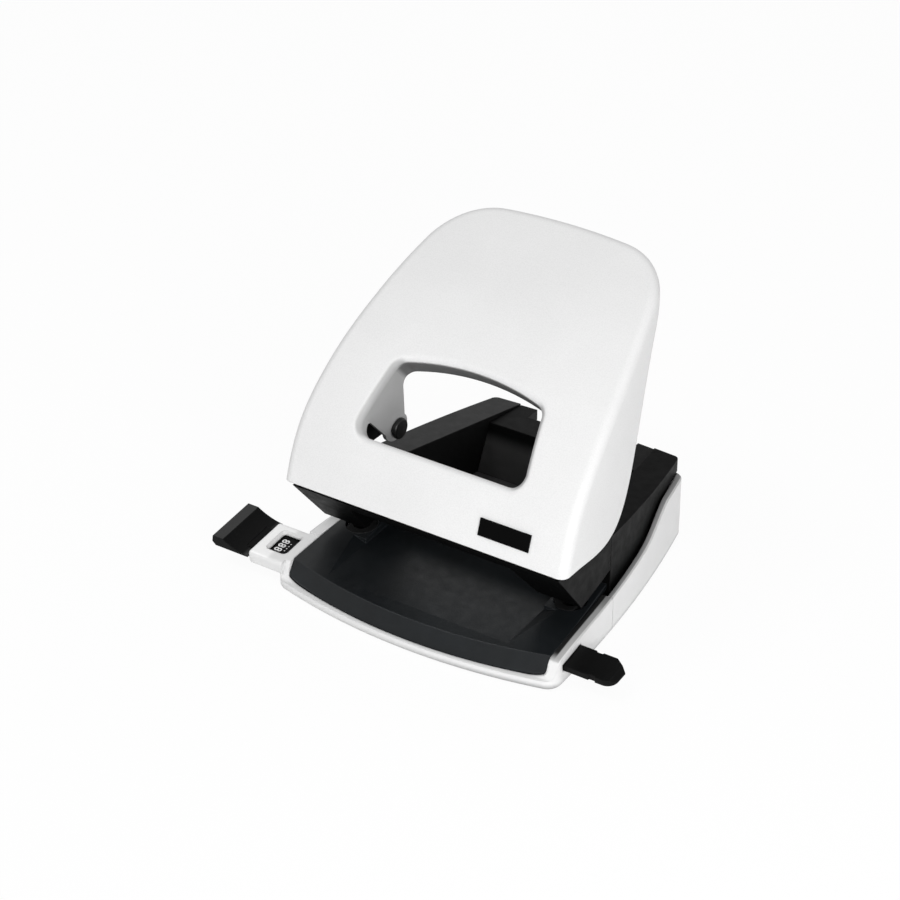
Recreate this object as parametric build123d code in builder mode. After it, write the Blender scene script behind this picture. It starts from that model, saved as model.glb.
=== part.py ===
from build123d import *
import math
import os

os.makedirs("parts", exist_ok=True)

# Sizes are in millimetres. X runs to the right, Y to the back and Z up from the table.

# Fits and gaps
pin_gap = 0.05        # radial gap of a pin or shaft that turns or slides in its hole
slide_gap = 0.35      # gap round the guide bar
part_gap = 0.2        # gap between fixed plastic pieces
swing_gap = 0.4       # gap round the cover that opens
yoke_gap = 0.35       # gap above and below the drive pin in its yoke
reach = 200.0         # length of a cut that goes right through

# Punching standard: two round holes, their spacing and their distance from the paper's edge
hole_pitch = 80.0
hole_d = 6.0
hole_margin = 12.0
punch_x = hole_pitch / 2

# Base outline, seen from above: its sides stand clear of the punches and draw in to the rear
side_room = 13.0
side_draw = 14.0
base_front_half = punch_x + side_room
base_rear_half = base_front_half - side_draw
base_front_y = -48.7
base_rear_y = 52.6
base_front_bow = 7.3
base_side_bow = 2.9
base_rear_bow = 1.6
base_corner_r = 5.0
wall_t = 2.0
frame_wall = 4.0
frame_step_z = 3.8
wall_max = 30.0
lip_r = 1.4
lip_t = 1.2
lip_step_z = 1.6
seam_y = -10.8
body_room = 1.2
body_inset = wall_t + body_room
table_inset = frame_wall + part_gap
skin_t = 1.6
arm_skin = 1.2

# Top edge of the white wall, seen from the side: front lip, side rim and raised rear
lip_z = 3.5
rim_front_z = 9.6
rim_rise = 4.0
rim_seam_z = 12.7
rim_mid_z = 14.2
rim_rear_z = 22.0

# Paper table, which slopes up to the back
table_tilt = 7.0
table_front_y = -50.0
table_front_z = 9.0
table_t = 2.0
recess_half = 34.0
recess_tilt = 2.7
recess_flare = 4.9
recess_rise = 1.6
recess_front_y = -46.0
recess_skin = 1.5
bevel_drop = 0.6
bevel_slope = 30.0
plate_skirt = 0.4
bevel_z = lip_z - bevel_drop
plate_low_z = bevel_z - plate_skirt
slot_h = 5.8
slot_end_y = -7.0
punch_y = slot_end_y - hole_margin
slope = math.tan(math.radians(table_tilt))


def table_z(y):
    """Height of the table's top face at a given Y."""
    return table_front_z + (y - table_front_y) * slope


# Guide bar, its housing on the left and the stop on its left end
bar_y = -38.8
bar_w = 11.0
bar_t = 2.0
bar_right_x = 70.2
bar_left_x = -74.0
housing_x = -64.6
housing_w = 17.6
housing_cover = 1.9
housing_shift = -0.9
sight_out = 3.8
sight_run = 8.8
sight_taper = 25.0
housing_under = 0.95
housing_r = 1.2
stop_right_x = housing_x - slide_gap
stop_left_x = -79.2
stop_w = 19.4
stop_band = 4.6
stop_rise = 2.05
ramp_sag = 0.7
tab_corner_r = 3.6
tab_slant = 3.2
tab_bevel = 1.5
bar_drop = table_t + slide_gap
bar_front_y = bar_y - bar_w / 2 - slide_gap
channel_skin = 1.6
plate_bend = bar_front_y - channel_skin - part_gap
channel_half = punch_x + 2.0

# Jaw, the fixed black cover over the punches
jaw_top_y = -42.7
jaw_top_z = 36.2
jaw_low_y = -27.2
jaw_wall = 2.0
foot_inner_low = 32.7
foot_inner_high = 30.0
jaw_raise_z = 31.5
foot_floor = 2.2

# Arms and well
arm_rear_y = 54.2
arm_rear_bow = 1.6
arm_corner_r = 2.3
arm_inner_rear = 25.4
arm_inner_front = 36.6
arm_low_z = 7.0
arm_front_z = 32.2
arm_rear_z = 26.2
well_floor_z = 9.5
well_rear_y = 39.5
well_skin = 1.8
well_front_z = 28.0
notch_half = 19.8
arm_slot_h = 12.6
notch_depth = 6.5

# Handle sheet: profile from the front edge to the top
sheet_t = 1.3
handle_front_y = -43.9
handle_front_z = 37.8
handle_top_y = 36.0
handle_top_z = 107.6
handle_inset = 0.2
handle_rear_inset = 0.6
handle_front_half = base_front_half - handle_inset
handle_rear_half = base_rear_half - handle_rear_inset
handle_side_bow = 2.6
handle_rear_y = 38.4
handle_corner_r = 23.0
handle_edge_r = 3.0
handle_edge_bow = 1.5
handle_rear_bow = 3.0
face_fractions = [
    (0.043, 0.146),
    (0.116, 0.299),
    (0.224, 0.436),
    (0.348, 0.559),
    (0.512, 0.689),
    (0.675, 0.804),
    (0.800, 0.881),
    (0.912, 0.947),
    (1.000, 1.000),
]

# Window in the handle, its ears and its flange
window_y = -35.3
window_z = 58.5
window_tilt = 43.6
window_low_half = 31.0
window_high_half = 26.6
window_side = 25.6
window_arch = 29.8
window_low_r = 4.5
window_high_r = 4.5
flange_depth = 9.0
ear_pin_r = 5.0
ear_root = 5.4
collar_depth = 5.4
collar_r = 1.1
flange_foot = 22.0
window_bend_r = 2.4
ear_bend_r = 4.0

# Pivot, drive pins, punches and springs
pivot_y = -33.0
pivot_z = 36.0
axle_d = 5.0
drive_y = -14.0
drive_z = 50.0
drive_d = 5.0
press_deg = 25.0
frame_offset = 3.4
frame_x = punch_x + frame_offset
frame_t = 1.3
guide_top_z = 27.0
block_fore = 5.0
block_aft = 9.0
block_side = 4.9
block_front_y = punch_y - block_fore
block_back_y = punch_y + block_aft
block_inner_x = punch_x - block_side
die_fore = 5.6
die_aft = 7.0
die_front_y = punch_y - die_fore
die_back_y = punch_y + die_aft
yoke_low_z = 44.0
yoke_high_z = 56.5
yoke_half = 3.4
spring_wire = 0.8
spring_turns = 5
spring_r = hole_d / 2 + 0.3 + spring_wire / 2

# Cover under the base
cover_t = 1.6
cover_rim_h = 3.2
cover_rim_t = 1.2
hinge_y = 45.0
hinge_z = 3.2
hinge_d = 2.6
knuckle_r = 3.0
knuckle_x = [0.0, 22.0]
knuckle_len = 9.0
hinge_ear_x = 30.5
hinge_ear_t = 2.5
cover_corner = 8.0


def base_face(sketch, inset, front_inset):
    """Draw the base's plan outline, moved in at its sides and rear, and at its front."""
    front_half = base_front_half - inset
    rear_half = base_rear_half - inset
    front_y = base_front_y + front_inset
    rear_y = base_rear_y - inset
    side_half = (front_half + rear_half) / 2 + base_side_bow
    side_y = (front_y + rear_y) / 2
    with BuildLine() as outline:
        ThreePointArc((-front_half, front_y), (0, front_y - base_front_bow), (front_half, front_y))
        ThreePointArc((front_half, front_y), (side_half, side_y), (rear_half, rear_y))
        ThreePointArc((rear_half, rear_y), (0, rear_y + base_rear_bow), (-rear_half, rear_y))
        ThreePointArc((-rear_half, rear_y), (-side_half, side_y), (-front_half, front_y))
    make_face(outline.edges())
    fillet(sketch.vertices(), radius=max(base_corner_r - inset, 1.0))


def body_face(sketch, inset):
    """Draw the plan outline of the black body: the base's sides with its own rear edge."""
    front_half = base_front_half - body_inset - inset
    rear_half = base_rear_half - body_inset + part_gap - inset
    front_y = base_front_y + body_inset + inset
    rear_y = arm_rear_y - inset
    side_half = (front_half + rear_half) / 2 + base_side_bow
    side_y = (base_front_y + base_rear_y) / 2
    with BuildLine() as outline:
        Line((-front_half, front_y), (front_half, front_y))
        ThreePointArc((front_half, front_y), (side_half, side_y), (rear_half, rear_y))
        ThreePointArc((rear_half, rear_y), (0, rear_y + arm_rear_bow), (-rear_half, rear_y))
        ThreePointArc((-rear_half, rear_y), (-side_half, side_y), (-front_half, front_y))
    make_face(outline.edges())
    rear_corners = sketch.vertices().sort_by_distance((0, base_front_y))[-2:]
    fillet(rear_corners, radius=arm_corner_r - inset)


def bar_points(half, low, high, shift=0.0):
    """Corners of a strip across the bar, parallel to the table, as Y and Z."""
    centre_z = table_z(bar_y)
    tilt = math.radians(table_tilt)
    front = shift - half
    back = shift + half
    corners = [(front, low), (back, low), (back, high), (front, high)]
    points = []
    for along, up in corners:
        y = bar_y + along * math.cos(tilt) - up * math.sin(tilt)
        z = centre_z + along * math.sin(tilt) + up * math.cos(tilt)
        points.append((y, z))
    return points


bar_high = -bar_drop
bar_low = -bar_drop - bar_t
housing_high = bar_high + housing_cover
housing_low = bar_low - housing_under
stop_plane = Plane(
    origin=(0, bar_y, table_z(bar_y)),
    x_dir=(1, 0, 0),
    z_dir=(0, -math.cos(math.radians(table_tilt)), -math.sin(math.radians(table_tilt))),
)

bar_plane = Plane(origin=(0, bar_y, table_z(bar_y)), x_dir=(1, 0, 0), z_dir=stop_plane.y_dir)

# Space above the white wall, used to trim it
with BuildPart() as above_wall:
    with BuildSketch(Plane.YZ):
        with BuildLine():
            lip = Line((base_front_y - base_front_bow - wall_t, lip_z), (base_front_y - 0.4, lip_z))
            rise = Spline(lip @ 1, (base_front_y + rim_rise, rim_front_z), tangents=((1, 0.25), (1, 0.25)))
            rim = Spline(
                rise @ 1,
                (seam_y, rim_seam_z),
                (10.0, rim_mid_z),
                (20.0, rim_mid_z + 0.22 * (rim_rear_z - rim_mid_z)),
                (28.0, rim_mid_z + 0.66 * (rim_rear_z - rim_mid_z)),
                (36.0, rim_rear_z),
            )
            rear = Line(rim @ 1, (base_rear_y + base_rear_bow + wall_t, rim_rear_z - 0.5))
            Polyline(
                rear @ 1,
                (base_rear_y + base_rear_bow + wall_t, wall_max + reach),
                (base_front_y - base_front_bow - wall_t, wall_max + reach),
                lip @ 0,
            )
        make_face()
    extrude(amount=reach, both=True)

# White front frame: lip, side rims up to the seam, the bar's housing and its way out on the right
with BuildPart() as front_frame:
    with BuildSketch() as front_plan:
        base_face(front_plan, 0, 0)
    extrude(amount=wall_max)
    fillet(front_frame.edges().group_by(Axis.Z)[0], radius=lip_r)
    with BuildSketch() as front_hollow:
        base_face(front_hollow, wall_t, wall_t)
    extrude(amount=frame_step_z, mode=Mode.SUBTRACT)
    with BuildSketch(Plane.XY.offset(lip_step_z)) as lip_hollow:
        base_face(lip_hollow, frame_wall, lip_t)
    extrude(amount=wall_max, mode=Mode.SUBTRACT)
    add(above_wall.part, mode=Mode.SUBTRACT)
    with BuildSketch(Plane.XZ.offset(-seam_y)):
        Rectangle(reach, reach)
    extrude(amount=-reach, mode=Mode.SUBTRACT)
    with BuildSketch(Plane.YZ.offset(housing_x)) as housing_side:
        with BuildLine():
            Polyline(*bar_points(housing_w / 2, housing_low, housing_high, housing_shift), close=True)
        make_face()
        fillet(housing_side.vertices(), radius=housing_r)
    extrude(amount=wall_t - base_front_half - housing_x)
    with BuildSketch(Plane.YZ.offset(-base_front_half - 1.0)):
        with BuildLine():
            Polyline(*bar_points(housing_w / 2, housing_high, reach, housing_shift), close=True)
        make_face()
    extrude(amount=frame_wall + 2.0, mode=Mode.SUBTRACT)
    housing_ends = front_frame.faces().sort_by(Axis.X)[0].edges()
    fillet(housing_ends, radius=0.9)
    with BuildSketch(Plane.YZ):
        with BuildLine():
            Polyline(*bar_points(bar_w / 2 + slide_gap, bar_low - slide_gap, bar_high + slide_gap), close=True)
        make_face()
    extrude(amount=reach, both=True, mode=Mode.SUBTRACT)
    with BuildSketch(bar_plane):
        with Locations((-base_front_half - sight_out, 0)):
            RectangleRounded(sight_run, bar_w + 0.2, 1.9)
    extrude(amount=bar_high, taper=sight_taper, mode=Mode.SUBTRACT)
front_frame.part.label = "front_frame"
export_step(front_frame.part, "parts/front_frame.step")

# White rear shell with a floor strip and two ears for the cover's hinge pin
floor_y = hinge_y + knuckle_r + swing_gap
with BuildPart() as base_shell:
    with BuildSketch() as shell_plan:
        base_face(shell_plan, 0, 0)
    extrude(amount=wall_max)
    fillet(base_shell.edges().group_by(Axis.Z)[0], radius=lip_r)
    with BuildSketch() as shell_hollow:
        base_face(shell_hollow, wall_t, wall_t)
    extrude(amount=wall_max, mode=Mode.SUBTRACT)
    with BuildSketch() as shell_floor:
        base_face(shell_floor, wall_t - part_gap, wall_t - part_gap)
        with Locations((0, floor_y - reach / 2)):
            Rectangle(reach, reach, mode=Mode.SUBTRACT)
    extrude(amount=cover_t)
    with BuildSketch(Plane.YZ.offset(hinge_ear_x)):
        with Locations((hinge_y, hinge_z)):
            Circle(knuckle_r)
        with Locations(((hinge_y + floor_y) / 2 + 1.0, hinge_z)):
            Rectangle(floor_y - hinge_y + 2.0, 2 * knuckle_r)
        with Locations((hinge_y, hinge_z)):
            Circle(hinge_d / 2, mode=Mode.SUBTRACT)
    extrude(amount=hinge_ear_t)
    mirror(about=Plane.YZ)
    add(above_wall.part, mode=Mode.SUBTRACT)
    with BuildSketch(Plane.XZ.offset(-seam_y - part_gap / 2)):
        Rectangle(reach, reach)
    extrude(amount=reach, mode=Mode.SUBTRACT)
base_shell.part.label = "base_shell"
export_step(base_shell.part, "parts/base_shell.step")

# Hinge pin of the cover
with BuildPart() as cover_hinge_pin:
    with BuildSketch(Plane.YZ):
        with Locations((hinge_y, hinge_z)):
            Circle(hinge_d / 2)
    extrude(amount=hinge_ear_x + hinge_ear_t, both=True)
cover_hinge_pin.part.label = "cover_hinge_pin"
export_step(cover_hinge_pin.part, "parts/cover_hinge_pin.step")

# Bottom cover: a shallow chip tray that is also the face the punch stands on
with BuildPart() as bottom_cover:
    with BuildSketch() as cover_plan:
        base_face(cover_plan, wall_t + swing_gap, wall_t + swing_gap)
        with Locations((0, hinge_y + reach / 2)):
            Rectangle(reach, reach, mode=Mode.SUBTRACT)
    extrude(amount=cover_t)
    with BuildSketch(Plane.XY.offset(cover_t)) as cover_rim:
        base_face(cover_rim, wall_t + swing_gap, wall_t + swing_gap)
        with Locations((0, seam_y + reach / 2)):
            Rectangle(reach, reach, mode=Mode.SUBTRACT)
    extrude(amount=cover_rim_h - cover_t)
    with BuildSketch(Plane.XY.offset(cover_t)) as cover_hollow:
        base_face(cover_hollow, wall_t + swing_gap + cover_rim_t, wall_t + swing_gap + cover_rim_t)
        with Locations((0, seam_y - cover_rim_t + reach / 2)):
            Rectangle(reach, reach, mode=Mode.SUBTRACT)
    extrude(amount=cover_rim_h, mode=Mode.SUBTRACT)
    with BuildSketch(Plane.XY.offset(plate_low_z - swing_gap)):
        with Locations((0, bar_front_y + swing_gap - reach / 2)):
            Rectangle(2 * reach, reach)
    extrude(amount=cover_rim_h, mode=Mode.SUBTRACT)
    with BuildSketch(Plane.YZ):
        with BuildLine():
            strip = bar_points(housing_w / 2 + 1.0, housing_low - slide_gap, reach, housing_shift)
            Polyline(*strip, close=True)
        make_face()
    extrude(amount=reach, both=True, mode=Mode.SUBTRACT)
    for x in [-knuckle_x[1], knuckle_x[0], knuckle_x[1]]:
        with BuildSketch(Plane.YZ.offset(x)):
            with Locations((hinge_y, hinge_z)):
                Circle(knuckle_r)
            with Locations((hinge_y - knuckle_r, hinge_z / 2)):
                Rectangle(2 * knuckle_r, hinge_z)
        extrude(amount=knuckle_len / 2, both=True)
    with BuildSketch():
        corner_x = hinge_ear_x - swing_gap + reach / 2
        with Locations((-corner_x, hinge_y), (corner_x, hinge_y)):
            Rectangle(reach, 2 * cover_corner)
    extrude(amount=cover_t, mode=Mode.SUBTRACT)
    with BuildSketch(Plane.YZ):
        with Locations((hinge_y, hinge_z)):
            Circle(hinge_d / 2 + pin_gap)
    extrude(amount=reach, both=True, mode=Mode.SUBTRACT)
bottom_cover.part.label = "bottom_cover"
export_step(bottom_cover.part, "parts/bottom_cover.step")

# Paper table: a sloping plate with a bevelled front, a shallow recess and two holes for the dies
die_collar_r = hole_d / 2 + 2.2
bevel_front = base_front_y - base_front_bow + lip_t + part_gap
bevel_r = (base_front_half**2 + base_front_bow**2) / (2 * base_front_bow)
recess_slope = math.tan(math.radians(recess_tilt))
recess_front_z = table_z(recess_front_y)
recess_end_y = slot_end_y - part_gap
flare_end_y = punch_y - die_collar_r - 1.0
pad_front_y = bar_y + bar_w / 2 + 2.6


def recess_z(y):
    """Height of the recess's floor at a given Y."""
    return recess_front_z + (y - recess_front_y) * recess_slope


recess_plane = Plane(
    origin=(0, recess_front_y, recess_front_z),
    x_dir=(-1, 0, 0),
    z_dir=(0, math.cos(math.radians(recess_tilt)), math.sin(math.radians(recess_tilt))),
)
with BuildPart() as paper_table:
    with BuildSketch() as table_plan:
        base_face(table_plan, table_inset, lip_t + part_gap)
        with Locations((0, slot_end_y + reach / 2)):
            Rectangle(reach, reach, mode=Mode.SUBTRACT)
    extrude(amount=wall_max)
    with BuildSketch(Plane.YZ) as table_side:
        with BuildLine():
            table_back = slot_end_y + 1.0
            plate_front = bevel_front - 1.0
            Polyline(
                (table_back, table_z(table_back)),
                (plate_front, table_z(plate_front)),
                (plate_front, plate_low_z),
                (plate_bend, plate_low_z),
                (plate_bend, table_z(plate_bend) - table_t),
                (table_back, table_z(table_back) - table_t),
                close=True,
            )
        make_face()
    extrude(amount=reach, both=True, mode=Mode.INTERSECT)
    with BuildSketch(Plane.YZ):
        with BuildLine():
            Polyline(
                (pad_front_y, table_z(pad_front_y) - table_t / 2),
                (pad_front_y, table_z(pad_front_y) - table_t),
                (pad_front_y + 2.0, recess_z(pad_front_y + 2.0) - recess_skin),
                (recess_end_y, recess_z(recess_end_y) - recess_skin),
                (recess_end_y, table_z(recess_end_y) - table_t / 2),
                close=True,
            )
        make_face()
    extrude(amount=recess_half + 0.7, both=True)
    for side in (-1, 1):
        with BuildSketch(Plane.YZ.offset(side * (block_inner_x - part_gap))):
            with BuildLine():
                die_room_front = die_front_y - part_gap
                die_room_back = die_back_y + part_gap
                Polyline(
                    (die_room_front, 0),
                    (die_room_back, 0),
                    (die_room_back, table_z(die_room_back) - table_t),
                    (die_room_front, table_z(die_room_front) - table_t),
                    close=True,
                )
            make_face()
        extrude(amount=side * (frame_x - block_inner_x + 2 * part_gap), mode=Mode.SUBTRACT)
    with BuildSketch(Plane.XY.offset(plate_low_z)) as table_corners:
        base_face(table_corners, table_inset, lip_t + part_gap)
        with Locations((0, bar_front_y + reach / 2)):
            Rectangle(reach, reach, mode=Mode.SUBTRACT)
        Rectangle(2 * (channel_half + part_gap), reach, mode=Mode.SUBTRACT)
    extrude(amount=table_z(bar_front_y) - table_t - plate_low_z)
    with BuildSketch(Plane.XY.offset(bevel_z)):
        with Locations((0, bevel_front + bevel_r)):
            Circle(bevel_r)
    extrude(amount=wall_max, taper=bevel_slope, mode=Mode.INTERSECT)
    with BuildSketch(Plane.YZ):
        with BuildLine():
            Polyline(
                (slot_end_y + 1.0, recess_z(slot_end_y + 1.0)),
                (recess_front_y, recess_front_z),
                (recess_front_y, reach),
                (slot_end_y + 1.0, reach),
                close=True,
            )
        make_face()
    extrude(amount=recess_half, both=True, mode=Mode.SUBTRACT)
    with BuildSketch(recess_plane):
        with BuildLine():
            Polyline(
                (-recess_half, 0),
                (recess_half, 0),
                (recess_half + 3 * recess_flare, 3 * recess_rise),
                (-recess_half - 3 * recess_flare, 3 * recess_rise),
                close=True,
            )
        make_face()
    extrude(amount=flare_end_y - recess_front_y, mode=Mode.SUBTRACT)
    with BuildSketch():
        with Locations((-punch_x, punch_y), (punch_x, punch_y)):
            Circle(die_collar_r + part_gap)
    extrude(amount=wall_max, mode=Mode.SUBTRACT)
paper_table.part.label = "paper_table"
export_step(paper_table.part, "parts/paper_table.step")

# Channel under the table that guides the bar
with BuildPart() as bar_channel:
    with BuildSketch(Plane.YZ):
        with BuildLine():
            Polyline(*bar_points(bar_w / 2 + slide_gap + channel_skin, bar_low - slide_gap - 1.0, -table_t), close=True)
        make_face()
    extrude(amount=channel_half, both=True)
    with BuildSketch(Plane.YZ):
        with BuildLine():
            Polyline(*bar_points(bar_w / 2 + slide_gap, bar_low - slide_gap, reach), close=True)
        make_face()
    extrude(amount=reach, both=True, mode=Mode.SUBTRACT)
    with BuildSketch() as channel_ends:
        base_face(channel_ends, table_inset, table_inset)
    extrude(amount=wall_max, mode=Mode.INTERSECT)
bar_channel.part.label = "bar_channel"
export_step(bar_channel.part, "parts/bar_channel.step")

# Guide bar with its shaped and bevelled right end, slid along X
with BuildPart() as guide_bar:
    with BuildSketch(bar_plane.offset(bar_low)) as bar_outline:
        with BuildLine():
            Polyline(
                (bar_left_x, -bar_w / 2),
                (bar_right_x, -bar_w / 2),
                (bar_right_x, bar_w / 2 - tab_slant),
                (bar_right_x - 1.4 * tab_slant, bar_w / 2),
                (bar_left_x, bar_w / 2),
                close=True,
            )
        make_face()
        tab_corner = bar_outline.vertices().sort_by_distance((bar_right_x, -bar_w / 2))[0]
        fillet(tab_corner, radius=tab_corner_r)
        with Locations((bar_right_x - 7.4, -bar_w / 2), (bar_right_x - 10.6, bar_w / 2)):
            RectangleRounded(2.4, 1.0, 0.45, mode=Mode.SUBTRACT)
    extrude(amount=bar_t)
    with BuildSketch(stop_plane):
        with BuildLine():
            Polyline(
                (bar_right_x - tab_bevel, bar_high),
                (bar_right_x + 1.0, bar_high),
                (bar_right_x + 1.0, bar_low + 0.5),
                (bar_right_x, bar_low + 0.5),
                close=True,
            )
        make_face()
    extrude(amount=bar_w, both=True, mode=Mode.SUBTRACT)
guide_bar.part.label = "guide_bar"
export_step(guide_bar.part, "parts/guide_bar.step")

# Wedge-shaped stop on the bar's left end
stop_low = bar_low - 0.8
stop_high = 0.6
stop_end_high = stop_low + stop_rise + 0.2
cheek_half = bar_w / 2 + 1.2
with BuildPart() as end_stop:
    with BuildSketch(stop_plane):
        with BuildLine():
            ramp_top = (stop_left_x + stop_band, stop_high)
            ramp_foot = (stop_right_x, stop_end_high)
            sag = ((ramp_top[0] + ramp_foot[0]) / 2, (ramp_top[1] + ramp_foot[1]) / 2 - ramp_sag)
            ThreePointArc(ramp_top, sag, ramp_foot)
            Polyline(
                ramp_foot,
                (stop_right_x, stop_low),
                (stop_left_x + 3.0, stop_low),
                (stop_left_x, stop_low + 3.4),
                (stop_left_x + 0.5, stop_high),
                ramp_top,
            )
        make_face()
    extrude(amount=stop_w / 2, both=True)
    for side in (-1, 1):
        with BuildSketch(bar_plane.offset(stop_low)):
            with Locations((stop_left_x, side * (cheek_half + stop_w / 2))):
                Rectangle(reach, stop_w)
        extrude(amount=stop_rise, mode=Mode.SUBTRACT)
    with BuildSketch(Plane.YZ.offset(bar_left_x)):
        with BuildLine():
            Polyline(*bar_points(bar_w / 2, bar_low, bar_high), close=True)
        make_face()
    extrude(amount=reach, mode=Mode.SUBTRACT)
end_stop.part.label = "end_stop"
export_step(end_stop.part, "parts/end_stop.step")

# Outer shape of the jaw and of the space inside it
jaw_low_z = table_z(jaw_low_y) + slot_h
jaw_back_z = table_z(slot_end_y) + slot_h
jaw_run = math.hypot(jaw_low_y - jaw_top_y, jaw_top_z - jaw_low_z)
wall_shift_y = jaw_wall * jaw_run / (jaw_top_z - jaw_low_z)
with BuildPart() as foot_space:
    with BuildSketch(Plane.YZ):
        with BuildLine():
            Polyline(
                (jaw_top_y + wall_shift_y, jaw_top_z),
                (jaw_low_y + wall_shift_y * 0.35, jaw_low_z + foot_floor),
                (slot_end_y, jaw_back_z + foot_floor),
                (slot_end_y + 1.0, jaw_back_z + foot_floor),
                (slot_end_y + 1.0, reach),
                (jaw_top_y + wall_shift_y, reach),
                close=True,
            )
        make_face()
    extrude(amount=reach, both=True)
    with BuildSketch() as foot_plan:
        body_face(foot_plan, skin_t)
    extrude(amount=reach, mode=Mode.INTERSECT)
    with BuildSketch(Plane.XZ):
        with BuildLine():
            inner_low = foot_inner_low + skin_t + 0.2
            inner_high = foot_inner_high + skin_t + 0.2
            Polyline(
                (-inner_low, 0),
                (inner_low, 0),
                (inner_low, jaw_low_z),
                (inner_high, jaw_raise_z),
                (-inner_high, jaw_raise_z),
                (-inner_low, jaw_low_z),
                close=True,
            )
        make_face()
    extrude(amount=reach, both=True, mode=Mode.SUBTRACT)

# Jaw: a sloping front band, raised in the middle, with a hollow foot over each punch
with BuildPart() as jaw_cover:
    with BuildSketch(Plane.YZ):
        with BuildLine():
            Polyline(
                (jaw_top_y, jaw_top_z),
                (jaw_low_y, jaw_low_z),
                (slot_end_y - part_gap, jaw_back_z),
                (slot_end_y - part_gap, jaw_top_z),
                close=True,
            )
        make_face()
    extrude(amount=reach, both=True)
    with BuildSketch() as jaw_plan:
        body_face(jaw_plan, 0)
    extrude(amount=reach, mode=Mode.INTERSECT)
    with BuildSketch(Plane.XZ):
        with BuildLine():
            Polyline(
                (-foot_inner_low, 0),
                (foot_inner_low, 0),
                (foot_inner_low, jaw_low_z),
                (foot_inner_high, jaw_raise_z),
                (-foot_inner_high, jaw_raise_z),
                (-foot_inner_low, jaw_low_z),
                close=True,
            )
        make_face()
    extrude(amount=reach, both=True, mode=Mode.SUBTRACT)
    add(foot_space.part, mode=Mode.SUBTRACT)
    with BuildSketch():
        with Locations((-punch_x, punch_y), (punch_x, punch_y)):
            Circle(hole_d / 2 + 0.6)
    extrude(amount=jaw_raise_z, mode=Mode.SUBTRACT)
jaw_cover.part.label = "jaw_cover"
export_step(jaw_cover.part, "parts/jaw_cover.step")

# Region under the arms' top face, seen from the side
with BuildPart() as arm_side:
    with BuildSketch(Plane.YZ):
        with BuildLine():
            arm_top = Line((slot_end_y, arm_front_z), (arm_rear_y + 6.0, arm_rear_z))
            Polyline(
                arm_top @ 1,
                (arm_rear_y + 6.0, rim_rear_z + 0.3),
                (base_rear_y - body_inset - base_rear_bow, rim_rear_z + 0.3),
                (base_rear_y - body_inset - base_rear_bow, arm_low_z),
                (slot_end_y, arm_low_z),
                arm_top @ 0,
            )
        make_face()
    extrude(amount=reach, both=True)

# Space inside an arm
with BuildPart() as arm_space:
    with BuildSketch() as arm_hollow:
        body_face(arm_hollow, arm_skin)
        with BuildLine():
            Polyline(
                (-reach, slot_end_y + arm_skin),
                (-reach, -reach),
                (reach, -reach),
                (reach, slot_end_y + arm_skin),
                close=True,
            )
        make_face(mode=Mode.SUBTRACT)
        with Locations((0, base_rear_y - wall_t - 4.0 + reach / 2)):
            Rectangle(2 * reach, reach, mode=Mode.SUBTRACT)
        with BuildLine():
            Polyline(
                (-arm_inner_front - arm_skin, slot_end_y),
                (arm_inner_front + arm_skin, slot_end_y),
                (arm_inner_rear + arm_skin, arm_rear_y + 6.0),
                (-arm_inner_rear - arm_skin, arm_rear_y + 6.0),
                close=True,
            )
        make_face(mode=Mode.SUBTRACT)
    extrude(amount=reach)
    add(arm_side.part.moved(Location((0, 0, -arm_skin))), mode=Mode.INTERSECT)
    with BuildSketch(Plane.XZ.offset(-slot_end_y + 1.0)):
        with Locations((-frame_x - frame_t / 2, jaw_top_z / 2 + 14.0), (frame_x + frame_t / 2, jaw_top_z / 2 + 14.0)):
            Rectangle(frame_t + 1.2, jaw_top_z - 14.0)
        with Locations((-frame_x - frame_t / 2, arm_low_z), (frame_x + frame_t / 2, arm_low_z)):
            Rectangle(frame_t + 1.2, arm_slot_h)
    extrude(amount=-(arm_skin + 3.0))

# Space that the white wall takes, with a gap all round
with BuildPart() as wall_space:
    with BuildSketch() as wall_outer:
        base_face(wall_outer, -reach / 20, -reach / 20)
    extrude(amount=wall_max)
    with BuildSketch() as wall_inner:
        base_face(wall_inner, body_inset, body_inset)
    extrude(amount=wall_max, mode=Mode.SUBTRACT)
    add(above_wall.part.moved(Location((0, 0, part_gap))), mode=Mode.SUBTRACT)

# Right and left arms: hollow covers from the paper slot to the rear
with BuildPart() as right_arm_cover:
    with BuildSketch() as arm_plan:
        body_face(arm_plan, 0)
        with BuildLine():
            Polyline(
                (arm_inner_front, slot_end_y),
                (arm_inner_rear, arm_rear_y + 6.0),
                (-reach, arm_rear_y + 6.0),
                (-reach, slot_end_y),
                close=True,
            )
        make_face(mode=Mode.SUBTRACT)
    extrude(amount=reach)
    add(arm_side.part, mode=Mode.INTERSECT)
    add(arm_space.part, mode=Mode.SUBTRACT)
    add(wall_space.part, mode=Mode.SUBTRACT)
right_arm_cover.part.label = "right_arm_cover"
export_step(right_arm_cover.part, "parts/right_arm_cover.step")

with BuildPart() as left_arm_cover:
    add(mirror(right_arm_cover.part, about=Plane.YZ))
left_arm_cover.part.label = "left_arm_cover"
export_step(left_arm_cover.part, "parts/left_arm_cover.step")

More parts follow.
